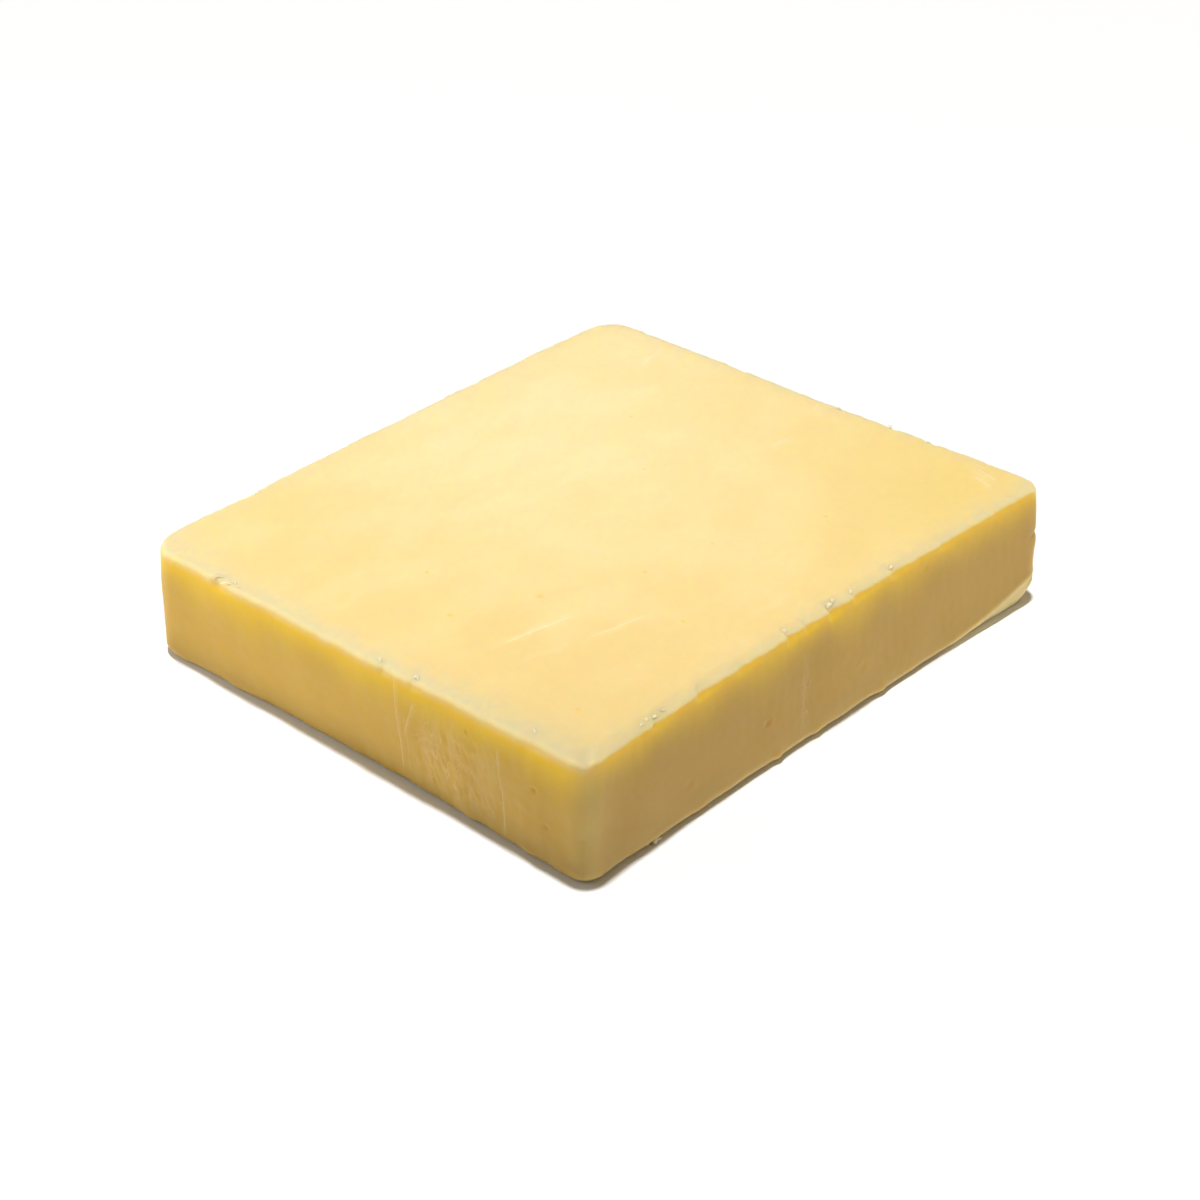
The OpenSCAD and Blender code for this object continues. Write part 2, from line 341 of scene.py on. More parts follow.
def slabColumns(half):
    # what each column round the slab needs before rings are stacked: its place, its way out and its bows.
    # The outline, the bows and the slow waves are evened out, so that they run softly into the corners.
    side, along, beyond, skinTurn, share = outlineColumns(half)
    facing = np.radians(-90 + 90 * side)
    heading = facing + np.radians(skinTurn)
    outward = np.where(side % 2 == 0, half[1], half[0]) + beyond
    x = -along * np.sin(facing) + outward * np.cos(facing)
    y = along * np.cos(facing) + outward * np.sin(facing)
    outline = np.stack([x, y], axis=-1)
    length = np.concatenate([[0], np.cumsum(np.linalg.norm(np.diff(outline, axis=0), axis=1))])
    total = length[-1] + np.linalg.norm(outline[0] - outline[-1])
    spacing = np.diff(np.append(length, total))
    apart = (length[:, None] - length + total / 2) % total - total / 2

    def evenOut(values, width):
        # each value averaged with its neighbours round the slab, weighed by a bell of that width
        weight = spacing * bump(apart, width)
        return weight @ values / weight.sum(axis=1)

    outlineWidth, waveWidth = slab["evenOut"]
    place = side + share
    evenly = 4 * length / total
    hollow = 1 - np.square(2 * share - 1)
    turned = np.arctan2(evenOut(np.sin(heading), outlineWidth), evenOut(np.cos(heading), outlineWidth))
    fromNear = (length + total / 2) % total - total / 2        # round the slab from the front left corner
    fromRight = length - np.interp(1.0, place, length)         # and from the front right corner
    return {
        "half": half,
        "side": side,
        "along": along,
        "place": place,
        "outline": outline,
        "reach": np.where(side % 2 == 0, half[0], half[1]),
        "fromNear": fromNear,
        "fromRight": fromRight,
        "x": evenOut(x, outlineWidth),
        "y": evenOut(y, outlineWidth),
        "heading": turned,
        "footBow": evenOut(hollow * np.take(slab["baseBow"], side), waveWidth),
        "topBow": evenOut(hollow * np.take(slab["topBow"], side), waveWidth),
        "waveTurn": 90 * (evenOut(place - evenly, waveWidth) + evenly),
        "onFront": ramp(fromNear, -2, 4) * (1 - ramp(fromRight, -6, 2)),
        "frontShare": ramp(fromNear, -4, 8) * (1 - ramp(fromRight, 0, 8)),
        "onLeft": ramp(-fromNear, -3, 3) * ramp(fromNear, -total / 2, -total / 2 + 20),
    }


def skinRing(column, inset, z, push):
    # one ring: each column moved out along its own heading by the bow, the swell and the slow waves of the
    # sides, drawn in by inset, then shifted as the corners are
    half = column["half"]
    up = np.clip(z / slab["height"], 0, 1)
    bow = (1 - up) * column["footBow"] + up * column["topBow"]
    swell = slab["sideSwell"] * (bump(up - slab["swellHeight"], slab["swellReach"]) - 1)
    push = push + bow + swell + slab["sideWave"] * roundWave(column["waveTurn"], up)
    x = (column["x"] + push * np.cos(column["heading"])) * (1 - inset / half[0])
    y = (column["y"] + push * np.sin(column["heading"])) * (1 - inset / half[1])
    shiftX = (1 - up) * spread(slab["baseShiftX"], x, y, half) + up * spread(slab["topShiftX"], x, y, half)
    shiftY = (1 - up) * spread(slab["baseShiftY"], x, y, half) + up * spread(slab["topShiftY"], x, y, half)
    return x + shiftX, y + shiftY


def addEdges(column):
    # how the foot and the top edge change round the slab: how far the foot draws in and climbs, the chips,
    # the rim's width and its fall towards the side, its lip, and the depth of the painted glow below it
    outline, fromRight, onFront = column["outline"], column["fromRight"], column["onFront"]
    bevelShare = bump(fromRight, np.where(fromRight < 0, *slab["bevelRun"]))
    wander = 0.6 * roundWave(column["waveTurn"], 0) + 0.35 * softNoise(outline, 9, 41)
    radius = slab["baseEdgeRadius"] + slab["baseEdgeWander"] * wander
    footDraw, footClimb = [radius + extra * bevelShare for extra in slab["cornerBevel"]]
    cut = edgeCut(column["side"], column["along"], outline)
    wander = 0.7 * softNoise(outline, 16, 42) + 0.4 * softNoise(outline, 5, 43)
    uneven = 1 + 0.12 * wander + 0.16 * softNoise(outline, 3.1, 44)
    fall = aroundSlab(rim["fall"], column["place"]) * uneven + 0.4 * cut
    edgeX, edgeY = skinRing(column, 0, slab["height"], -cut)
    edgeTop = topHeight(edgeX, edgeY, column["half"])
    sideLip, frontLip = rim["lipRadius"]
    lip = sideLip + (frontLip - sideLip) * onFront
    goldDepth, leftExtra, leastDepth = bands["gold"]
    paintedGlowWander = 0.9 * softNoise(outline, 15, 45) + 0.15 * softNoise(outline, 6, 46)
    column.update(
        bevelShare=bevelShare,
        footDraw=footDraw,
        footClimb=footClimb,
        cut=cut,
        width=aroundSlab(rim["width"], column["place"]) * (1 + rim["wander"] * wander),
        fall=fall,
        lip=lip,
        edgeTop=edgeTop,
        wallTop=edgeTop - fall - lip,
        goldDepth=np.maximum(goldDepth + leftExtra * column["onLeft"] + paintedGlowWander, leastDepth),
    )


def cornerDent(column, z):
    # the dent round the front right corner, with a lump below it
    levelShare, depth, tall, lump, drop, lumpTall, run = slab["dent"]
    above = z - levelShare * slab["height"]
    out = lump * bump(above + drop, lumpTall) - depth * bump(above, tall)
    return out * bump(column["fromRight"], run)


def bevelRidge(column, z):
    # the ridge over the facet at the front right corner's foot: how far it moves the skin out, and the
    # mask of painted light on the facet under it, of a thin painted highlight along the front foot and of
    # painted light up that corner's lower half
    fromPlace, fromHeight, toPlace, toHeight = marks["bevelRidge"]
    run = np.clip((column["along"] - fromPlace) / (toPlace - fromPlace), 0, 1)
    ridgeLine = fromHeight + (toHeight - fromHeight) * run ** 1.7
    fromRight = column["fromRight"]
    onBevel = ramp(column["along"], fromPlace - 3, fromPlace + 6) * (1 - 0.6 * ramp(fromRight, -5, 0))
    onBevel = (column["side"] == 0) * onBevel
    ridge = onBevel * bump(z - ridgeLine, 0.5)
    out = 0.32 * ridge - 0.25 * onBevel * bump(z - ridgeLine + 1.5, 0.9)
    facet = np.maximum(onBevel * (1 - ramp(z, ridgeLine - 0.5, ridgeLine + 0.3)) * 0.85, ridge)
    facet = np.maximum(facet, 0.45 * column["onFront"] * bump(z - 1.1, 0.6))
    facet = np.maximum(facet, 0.55 * bump(fromRight + 0.8, 1.6) * (1 - ramp(z, 10.5, 13.0)))
    return out, facet


def wallPush(column, z):
    # how far a ring of the side moves out at each column, and its crease and film masks and its mask of
    # painted light on the facet
    along, cut = column["along"], column["cut"]
    out, crease, film = pressedMarks(column["side"], along, z)
    inland = ramp(column["reach"] - np.abs(along), 1.0, 7.0)
    points = np.stack([column["x"], column["y"], z], axis=-1)
    uneven = 0.11 * softNoise(points, 13, 51) + 0.032 * softNoise(points, 3.2, 52)
    ridgeOut, facet = bevelRidge(column, z)
    out = out * inland + uneven + cornerDent(column, z) + ridgeOut
    below = np.maximum(column["wallTop"] - z, 0)
    out = out - cut * np.exp(-np.square(below / (0.35 + 0.6 * cut)))
    return out, crease * inland, film * inland, facet


def sideShade(column, z, gold, low):
    # the sides dull towards the front left corner, more so low down, and along the left side's foot
    fromNear, onFront, onLeft = column["fromNear"], column["onFront"], column["onLeft"]
    strength, wide, lost = bands["nearShade"]
    near = strength * bump(fromNear, wide) * (1 - lost * onFront)
    shade = (1 - bands["paintedGlowKeeps"] * gold) * (near + bands["lowShade"] * low * onLeft)
    strength, wide, whole, gone, lost = bands["nearFootShade"]
    shade = shade + strength * bump(fromNear, wide) * (1 - ramp(z, whole, gone)) * (1 - lost * onFront)
    strength, tall = bands["leftFootShade"]
    return np.minimum(shade + strength * onLeft * bump(z, tall), 1)


def ringMasks(column, x, y, z, given):
    # one number a column for each mask, from the height of the ring and from what is given
    wallTop = column["wallTop"]
    below = np.maximum(wallTop - z, 0)
    # painted glow of light through the skin under the rim, fading with depth below it
    gold = np.exp(-(below / column["goldDepth"]) ** 1.7)
    low = 1 - ramp(z, *bands["low"])
    cornerPlace, cornerWide = bands["corner"]
    masks = {
        "wall": 1 - ramp(z - wallTop, 0.1, column["lip"]),
        "gold": gold,
        "low": low,
        # painted highlight up the rounded front left corner
        "corner": bump(column["fromNear"] - cornerPlace, cornerWide),
        "shade": np.where(z > wallTop, nearTopShade(x, y), sideShade(column, z, gold, low)),
        "front": column["frontShare"],
        **given,
    }
    return np.stack([np.broadcast_to(masks.get(name, 0), len(x)) for name in maskNames], axis=-1)


def stackRings(column):
    # rings from the underside's edge, up the sides, over the lip, across the rim and onto the top face;
    # the two numbers handed back are the rings of the outer edge and of the middle of the rim
    rows, masks = [], []
    steps, half = slab["rings"], column["half"]
    footDraw, footClimb = column["footDraw"], column["footClimb"]
    width, fall, lip, wallTop = column["width"], column["fall"], column["lip"], column["wallTop"]

    def ring(inset, z, push, **given):
        x, y = skinRing(column, inset, z, push)
        rows.append(np.stack([x, y, z + 0 * x], axis=-1))
        masks.append(ringMasks(column, x, y, z, given))

    flat = slab["bevelFlat"] * column["bevelShare"]
    for step in range(steps["base"] + 1):
        share = step / steps["base"]
        a = math.radians(90 * share)
        draw = (1 - flat) * (1 - math.sin(a)) + flat * (1 - share)
        climb = (1 - flat) * (1 - math.cos(a)) + flat * share
        level = np.maximum(footClimb * climb, slab["lowestMark"])
        out, crease, film, facet = wallPush(column, level)
        ring(footDraw * draw, footClimb * climb, out * math.sin(a), crease=crease, film=film, facet=facet)
    for step in range(1, steps["wall"] + 1):
        z = footClimb + (wallTop - footClimb) * step / steps["wall"]
        out, crease, film, facet = wallPush(column, z)
        rimShare = (0.5 - 0.45 * column["onFront"]) * ramp(z, wallTop - 1.2, wallTop + 0.3)
        ring(0, z, out, rim=rimShare, crease=crease, film=film, facet=facet)
    slope = np.arctan2(fall, width)    # the lip turns from upright to this; the last ring's push carries on
    for step in range(1, steps["lip"] + 1):
        share = step / steps["lip"]
        a = (math.pi / 2 - slope) * share
        ring(lip * (1 - np.cos(a)), wallTop + lip * np.sin(a), out, rim=0.5 + 0.5 * share)
    edgeRing = len(rows) - 1
    lipInset = lip * (1 - np.sin(slope))
    lipTop = wallTop + lip * np.cos(slope)
    for step in range(1, steps["rim"] + 1):
        share = step / steps["rim"]
        drawn = width * share
        points = np.column_stack([column["x"] * (1 - drawn / half[0]), column["y"] * (1 - drawn / half[1])])
        pebble = 0.035 * softNoise(points, 1.7, 61) + 0.04 * softNoise(points, 4.5, 62)
        pebble = pebble * math.sin(math.pi * share) ** 0.7
        patchy = 0.75 + 0.25 * softNoise(points, 6.0, 63)
        climb = (column["edgeTop"] - lipTop) * (1 - (1 - share) ** 1.35)
        rimShare = 1 - share * (1 - 0.45 * patchy)
        ring(lipInset + drawn, lipTop + climb + pebble, out * (1 - share), rim=rimShare)
    for step in range(1, steps["inner"] + 1):
        share = step / steps["inner"]
        inset = lipInset + width + rim["fade"] * share
        ring(inset, column["edgeTop"], 0, rim=0.45 * patchy * (1 - share) ** 1.3)
    return np.array(rows), np.array(masks), edgeRing, edgeRing + steps["rim"] // 2


def settleOnTop(stack, mask, half):
    # the last rings settle onto the top face itself, and every ring above the side gets the face's masks
    inner = slab["rings"]["inner"]
    share = (np.arange(1, inner + 1) / inner)[:, None]
    x, y, z = np.moveaxis(stack[-inner:], -1, 0)
    relief, pale = topRelief(x, y)
    stack[-inner:, :, 2] += share * (topHeight(x, y, half) + relief - z)
    mask[-inner:, :, maskNames.index("smear")] = pale * share
    flat = stack[-inner - slab["rings"]["rim"] - slab["rings"]["lip"]:]
    mask[-len(flat):, :, maskNames.index("deep")] = deepShare(flat[..., 0], flat[..., 1])
    mask[-len(flat):, :, maskNames.index("milky")] = milkyShare(flat[..., 0], flat[..., 1])


def topGrid(lastRing, half):
    # a square grid whose border is the last ring and whose points lie on shrunken copies of that ring;
    # spot numbers the border's points as the ring does, starting at the front left corner
    nx, ny = slab["columns"]
    gridX, gridY = np.meshgrid(np.linspace(-1, 1, nx + 1), np.linspace(-1, 1, ny + 1))
    shrink = np.maximum(np.abs(gridX), np.abs(gridY))
    safe = np.where(shrink == 0, 1, shrink)
    sx, sy = gridX / safe, gridY / safe
    tiny = 1e-9
    spot = np.where(sy <= -1 + tiny, (sx + 1) / 2 * nx, 0.0)
    spot = np.where((sx >= 1 - tiny) & (sy > -1 + tiny), nx + (sy + 1) / 2 * ny, spot)
    spot = np.where((sy >= 1 - tiny) & (sx < 1 - tiny), nx + ny + (1 - sx) / 2 * nx, spot)
    spot = np.where((sx <= -1 + tiny) & (np.abs(sy) < 1 - tiny), 2 * nx + ny + (1 - sy) / 2 * ny, spot)
    closedRing = np.vstack([lastRing, lastRing[:1]])
    stations = np.arange(len(closedRing))
    x = np.interp(spot, stations, closedRing[:, 0]) * shrink
    y = np.interp(spot, stations, closedRing[:, 1]) * shrink
    relief, pale = topRelief(x, y)
    grid = np.stack([x, y, topHeight(x, y, half) + relief], axis=-1)
    plain = 0 * x
    masks = {"gold": plain + 1, "smear": pale, "deep": deepShare(x, y), "milky": milkyShare(x, y),
             "shade": nearTopShade(x, y)}
    gridMask = np.stack([masks.get(name, plain) for name in maskNames], axis=-1)
    return grid, gridMask, spot, shrink >= 1 - tiny


def ringQuads(around, start, end):
    # four-sided faces between two rings of equal count whose numbering starts at start and at end
    row = np.arange(around)
    after = (row + 1) % around
    return np.stack([row + start, after + start, after + end, row + end], axis=-1)


def slabSurface():
    # the stacked rings, the top face's grid inside the last of them, and the underside: two rings drawn in
    # flat and one fan
    half = np.array([slab["length"], slab["width"]]) / 2
    column = slabColumns(half)
    addEdges(column)
    stack, mask, edgeRing, crestRing = stackRings(column)
    settleOnTop(stack, mask, half)
    ringCount, count = stack.shape[:2]
    grid, gridMask, spot, border = topGrid(stack[-1], half)
    index = np.zeros(border.shape, int)
    index[border] = (ringCount - 1) * count + np.round(spot[border]).astype(int) % count
    index[~border] = ringCount * count + np.arange((~border).sum())
    base = ringCount * count + (~border).sum()
    foot = stack[0][:, :2]
    under = [np.column_stack([foot * drawn, np.zeros(count)]) for drawn in (0.9, 0.5)]
    points = np.vstack([stack.reshape(-1, 3), grid[~border], *under, [[0, 0, 0]]])
    underMask = np.array([float(name in ("wall", "low")) for name in maskNames])
    underMasks = np.tile(underMask, (2 * count + 1, 1))
    mask = np.vstack([mask.reshape(-1, len(maskNames)), gridMask[~border], underMasks])
    wall = [ringQuads(count, n * count, (n + 1) * count) for n in range(ringCount - 1)]
    face = np.stack([index[:-1, :-1], index[:-1, 1:], index[1:, 1:], index[1:, :-1]], axis=-1)
    bottom = [ringQuads(count, base, 0), ringQuads(count, base + count, base)]
    inner = base + count + np.arange(count)
    fan = np.column_stack([inner, np.full(count, base + 2 * count), np.roll(inner, -1)])
    edge = {
        "side": column["side"],
        "along": column["along"],
        "line": stack[edgeRing],
        "crest": stack[crestRing],
        "foot": stack[slab["crumbRing"]],
    }
    return points, [np.vstack([*wall, face.reshape(-1, 4), *bottom]), fan], mask, edge


def deepShare(x, y):
    # 0 at the pale back left of the top face, 1 at its deeper yellow front right corner
    return ramp(x - 0.75 * y + 6 * faceWave(1.7 * x, 2.1 * y), 20, 125)


def milkyShare(x, y):
    # 1 at the palest part of the top face, towards the back right, and 0 at its left and front edges
    away = np.hypot(x - 22, y - 32) + 4 * faceWave(1.3 * y, 1.6 * x)
    return 1 - ramp(away, -10, 108)


def nearTopShade(x, y):
    # the top face and its rim dull a little towards the front left corner
    strength, cx, cy, wide = bands["topShade"]
    return strength * bump(np.hypot(x - cx, y - cy), wide)


# one number a point for each of these, read by the finish
maskNames = ("wall", "gold", "low", "rim", "crease", "film", "smear", "corner", "deep", "shade", "facet",
             "front", "milky")
slab["length"], slab["width"], slab["height"] = (blockHigh - blockLow) - np.array(slab["overBox"])
points, faces, mask, edge = slabSurface()
surfaceLow, surfaceHigh = points.min(axis=0), points.max(axis=0)


def fitToBox(points):
    # from the surface's own box to the block's
    return (points - surfaceLow) / (surfaceHigh - surfaceLow) * (blockHigh - blockLow) + blockLow


block = addMesh("cheddarSlab", fitToBox(points), faces, dict(zip(maskNames, mask.T)))
print("slab surface made:", len(block.data.vertices), "points,", len(block.data.polygons), "faces")


# Flakes along the rim and crumbs at the foot.
# A flake has its side, place, heading, length, width, thickness, curl, lift and share of the way in.
flakes = (
    (3, -36.9, 60, 2.6, 0.40, 0.20, 150, 0.25, -0.15), (3, -35.3, -45, 2.2, 0.40, 0.18, -120, 0.2, 0.05),
    (3, -34.2, 95, 2.4, 0.35, 0.18, 70, 0.2, -0.10), (3, -32.0, 60, 1.4, 0.35, 0.16, 50, 0.12, 0.0),
    (3, 6.6, 20, 1.7, 0.6, 0.20, 90, 0.12, -0.15), (3, 14.8, -20, 2.2, 0.6, 0.20, 120, 0.12, -0.15),
    (3, 16.0, 60, 1.5, 0.5, 0.16, -60, 0.1, 0.0), (3, 44.5, 30, 1.6, 0.7, 0.16, 60, 0.08, 0.5),
    (0, -50.8, 20, 1.7, 0.7, 0.16, 50, 0.06, 0.5), (0, -49.0, 70, 1.2, 0.6, 0.14, -60, 0.08, 0.7),
    (0, -47.3, -10, 1.5, 0.7, 0.16, 80, 0.08, 0.45), (0, -45.2, 30, 1.2, 0.5, 0.14, 40, 0.06, 0.8),
    (0, -43.8, 120, 1.0, 0.5, 0.14, 40, 0.06, 0.3), (0, -10.2, 35, 1.7, 0.8, 0.28, 80, 0.3, 0.1),
    (0, 1.8, 10, 2.4, 1.1, 0.35, 60, 0.35, 0.05), (0, 3.6, 60, 1.6, 0.8, 0.3, -50, 0.3, 0.3),
    (0, 8.2, 25, 1.5, 0.7, 0.25, 70, 0.2, 0.2), (0, 20.0, 0, 1.8, 0.7, 0.22, 60, 0.2, 0.2),
    (1, -31.0, 100, 1.8, 0.8, 0.3, 60, 0.3, 0.4), (1, -21.0, 70, 1.6, 0.8, 0.3, -60, 0.35, 0.4),
    (1, -8.0, 85, 1.3, 0.6, 0.2, 50, 0.2, 0.4), (2, 38.6, 200, 1.6, 0.7, 0.25, 60, 0.2, 0.3),
)
crumbs = (                             # side, place, distance out from the foot, radius, middle's height
    (0, -47.6, 0.75, 0.62, 0.62), (0, -46.6, 0.95, 0.38, 0.4), (0, -48.9, 0.45, 0.3, 0.32),
    (0, -13.4, -0.05, 0.42, 0.8), (0, -12.4, 0.0, 0.3, 0.7), (0, -2.3, 0.1, 0.4, 0.55),
    (0, 16.6, 0.0, 0.38, 0.7), (3, 27.0, 0.2, 0.3, 0.32), (3, -12.0, 0.25, 0.26, 0.28),
    (2, 12.0, 0.35, 0.34, 0.36), (1, 20.0, 0.3, 0.3, 0.32),
)


def closedTube(rings, startPole, endPole):
    # rings of equal count stacked along a path and shut by a fan of triangles at either end
    deep, around = rings.shape[:2]
    points = np.vstack([rings.reshape(-1, 3), [startPole, endPole]])
    row = np.arange(around)
    after = (row + 1) % around
    quads = np.vstack([ringQuads(around, n * around, (n + 1) * around) for n in range(deep - 1)])
    start, end = deep * around, deep * around + 1
    last = (deep - 1) * around
    caps = np.concatenate([np.column_stack([after, row, np.full(around, start)]),
                           np.column_stack([row + last, after + last, np.full(around, end)])])
    return points, quads, caps


def curledFlake(start, heading, length, width, thick, curl, lift, seed, rings=12, around=8):
    # a flat oval carried along an arc that turns by curl degrees and arches up by lift;
    # the oval swells as sin(pi u) ^ 0.6, so it starts and ends in a point
    u = np.linspace(0, 1, rings + 2)
    turn = np.radians(heading + curl * u)
    step = length / (rings + 1)
    x = start[0] + np.concatenate([[0], np.cumsum(np.cos(turn[:-1]))]) * step
    y = start[1] + np.concatenate([[0], np.cumsum(np.sin(turn[:-1]))]) * step
    z = start[2] + lift * np.sin(math.pi * u) ** 1.2
    path = np.column_stack([x, y, z])
    swell = np.sin(math.pi * u[1:-1]) ** 0.6
    swell = swell * (1 + 0.25 * softNoise(path[1:-1], 0.9, seed, 6))
    v = np.linspace(0, 2 * math.pi, around, endpoint=False)
    across = np.column_stack([-np.sin(turn), np.cos(turn), 0 * turn])[1:-1]
    oval = (across[:, None, :] * (0.5 * width * swell[:, None] * np.cos(v))[:, :, None]
            + np.array([0, 0, 1]) * (0.5 * thick * swell[:, None] * np.sin(v))[:, :, None])
    return closedTube(path[1:-1, None, :] + oval, path[0], path[-1])


def crumbLump(centre, radius, seed, rings=7, around=12):
    # a slightly flattened ball of latitude rings, its radius uneven by about a quarter
    polar = np.linspace(0, math.pi, rings + 2)[:, None]
    v = np.linspace(0, 2 * math.pi, around, endpoint=False)[None, :]
    ball = np.stack([np.sin(polar) * np.cos(v), np.sin(polar) * np.sin(v), -np.cos(polar) + 0 * v], axis=-1)
    uneven = 1 + 0.25 * softNoise(ball, 1.6, seed, 8)
    ball = ball * uneven[:, :, None] * np.array([1.15, 0.9, 0.8]) * radius + centre
    return closedTube(ball[1:-1], ball[0, 0], ball[-1, 0])


def joinShapes(shapes):
    # many closed shapes as one mesh: each one's numbering starts after the last one's
    starts = np.cumsum([0] + [len(shape[0]) for shape in shapes[:-1]])
    points = np.vstack([shape[0] for shape in shapes])
    quads = np.vstack([shape[1] + start for shape, start in zip(shapes, starts)])
    caps = np.vstack([shape[2] + start for shape, start in zip(shapes, starts)])
    return points, [quads, caps]


def alongEdge(line, where, place):
    # the point of a ring at one place along one side
    onSide = edge["side"] == where
    return np.array([np.interp(place, edge["along"][onSide], line[onSide, axis]) for axis in range(3)])


def addFlakes():
    shapes = []
    for n, (where, place, heading, length, width, thick, curl, lift, inward) in enumerate(flakes):
        outer = alongEdge(edge["line"], where, place)
        crest = alongEdge(edge["crest"], where, place)
        start = outer + (crest - outer) * inward + np.array([0, 0, 0.3 * thick])
        shapes.append(curledFlake(start, heading, length, width, thick, curl, lift, 70 + n))
    flakePoints, flakeFaces = joinShapes(shapes)
    return addMesh("edgeFlakes", fitToBox(flakePoints), flakeFaces)


def addCrumbs():
    shapes = []
    for n, (where, place, out, radius, level) in enumerate(crumbs):
        foot = alongEdge(edge["foot"], where, place)
        facing = math.radians(-90 + 90 * where)
        centre = np.array([foot[0] + out * math.cos(facing), foot[1] + out * math.sin(facing), level])
        shapes.append(crumbLump(centre, radius, 90 + n))
    crumbPoints, crumbFaces = joinShapes(shapes)
    return addMesh("footCrumbs", fitToBox(crumbPoints), crumbFaces)


edgeFlakes = addFlakes()
footCrumbs = addCrumbs()
print("flakes and crumbs made:", len(edgeFlakes.data.polygons) + len(footCrumbs.data.polygons), "faces")


# Finish of the cheese. It is one cheese, yet the sides are given darker, more saturated colours than the
# top: partly painted shade on the sides and painted light on the paler top
cheese = {
    "top": (0.885, 0.680, 0.300),
    "topPale": (0.955, 0.792, 0.440),
    "topDeep": (0.85, 0.655, 0.228),
    "tan": (0.655, 0.405, 0.062),
    "tanDeep": (0.61, 0.37, 0.052),
    "tanFront": (0.645, 0.405, 0.100),
    # painted glow of light coming through the skin under the rim, on the other sides and on the front
    "gold": (0.855, 0.565, 0.022),
    "paintedGlowFront": (0.92, 0.615, 0.060),
    # greener and darker low down: the cheese's own colour and, darker still on the left, painted shade
    "low": (0.565, 0.37, 0.076),
    "lowFront": (0.61, 0.42, 0.125),
    "rim": (0.735, 0.645, 0.370),
    "rimGrey": (0.755, 0.645, 0.355),
    # painted highlight up the rounded front left corner
    "corner": (0.78, 0.63, 0.25),
    "smear": (0.97, 0.84, 0.55),
    "crease": (0.88, 0.72, 0.40),
    # painted light on the facet at the front right corner's foot, along the front foot and up that corner
    "facet": (0.93, 0.77, 0.38),
    "spot": (0.93, 0.60, 0.12),
    "nearShade": (0.66, 0.65, 0.62),   # what is kept of a colour towards the front left corner
    "roughness": 0.46,
    "specular": 0.22,
    "scatter": (1.0, 0.58, 0.20),
    "scatterDepth": 3.2,               # how far red light travels under the skin
    "scatterShare": 1.0,
    "bumpDepth": 0.09,
    "bumpStrength": 0.6,
}
# Fine folds that the film left: from and to, half width and strength.
# On the left side the places are y and z, on the top face x and y.
folds = {
    "waver": 0.3,                      # how far the place of a fold or spot wanders in all
    "waverScale": 260.0,               # and how many times a metre
    "leftFrom": (55.0, 60.0),          # left folds begin at the first distance left of the middle
    "left": (
        (-11.3, 24.6, -10.9, 2.4, 0.12, 0.65), (-36.3, 20.4, -37.1, 1.6, 0.12, 0.65),
        (-15.9, 20.3, -12.4, 11.9, 0.13, 0.55), (-13.0, 16.4, -12.7, 2.6, 0.09, 0.30),
        (-15.2, 13.6, -20.4, 10.4, 0.12, 0.40), (-26.4, 12.2, -30.4, 5.4, 0.10, 0.35),
        (-30.6, 10.2, -33.2, 4.8, 0.10, 0.40), (-32.0, 8.3, -34.6, 4.0, 0.10, 0.40),
    ),
    "top": (
        (-47.2, -19.3, -30.9, -22.3, 0.30, 0.55), (-35.0, -29.5, -22.4, -31.9, 0.26, 0.50),
        (51.5, 35.6, 61.5, 38.2, 0.28, 0.45), (59.3, -3.9, 63.1, -2.5, 0.22, 0.60),
        (43.2, -7.9, 45.5, -7.2, 0.30, 0.70), (61.5, -43.0, 60.0, -48.5, 0.18, 0.60),
        (58.6, -44.5, 56.6, -50.0, 0.16, 0.55), (63.0, -40.0, 62.2, -44.5, 0.15, 0.50),
    ),
}
shaving = {
    "pale": (0.90, 0.82, 0.58),
    "deep": (0.85, 0.73, 0.44),
    "roughness": 0.62,
    "specular": 0.08,
    "scatter": (1.0, 0.9, 0.75),
    "scatterDepth": 0.5,
    "scatterShare": 0.7,
    "bumpDepth": 0.045,
    "bumpStrength": 0.5,
}
# Thin scratches in the film patches: the middles of a noise drawn out upwards
scratches = {
    "stretch": (1.0, 1.0, 0.35),
    "scale": 330.0,                    # cells of the noise in a metre
    "width": (0.010, 0.003),           # a scratch starts at the first distance from the middle value
    "strength": 0.32,
}
# Small deeper yellow spots on the top face: place and radius
spots = ((-46.0, -5.4, 0.9), (-53.9, -43.9, 0.8), (-30.6, -13.0, 1.1), (-11.5, -21.4, 0.7),
         (4.7, -23.9, 0.6), (-38.0, 8.5, 0.6), (18.0, 5.0, 0.5), (33.0, 22.0, 0.6),
         (-20.0, -38.0, 0.6), (27.0, -33.0, 0.7))


def addNode(tree, kind, **values):
    node = tree.nodes.new(kind)
    for key, value in values.items():
        setattr(node, key, value)
    return node


def mixColour(tree, factor, first, second, blend="MIX"):
    # factor, first and second are sockets or plain values
    node = addNode(tree, "ShaderNodeMix", data_type="RGBA", blend_type=blend)
    for slot, value in ((0, factor), (6, first), (7, second)):
        if isinstance(value, bpy.types.NodeSocket):
            tree.links.new(value, node.inputs[slot])
        else:
            node.inputs[slot].default_value = (*value, 1) if isinstance(value, tuple) else value
    return node.outputs[2]


def compute(tree, operation, *terms):
    node = addNode(tree, "ShaderNodeMath", operation=operation)
    for slot, value in enumerate(terms):
        if isinstance(value, bpy.types.NodeSocket):
            tree.links.new(value, node.inputs[slot])
        else:
            node.inputs[slot].default_value = value
    return node.outputs[0]


def addSplit(tree, vector, axis):
    node = addNode(tree, "ShaderNodeSeparateXYZ")
    tree.links.new(vector, node.inputs[0])
    return node.outputs[axis]


def stretch(tree, value, low, high):
    # 0 at low, 1 at high, and a smooth S between
    node = addNode(tree, "ShaderNodeMapRange", interpolation_type="SMOOTHSTEP")
    tree.links.new(value, node.inputs[0])
    node.inputs["From Min"].default_value = low
    node.inputs["From Max"].default_value = high
    return node.outputs[0]


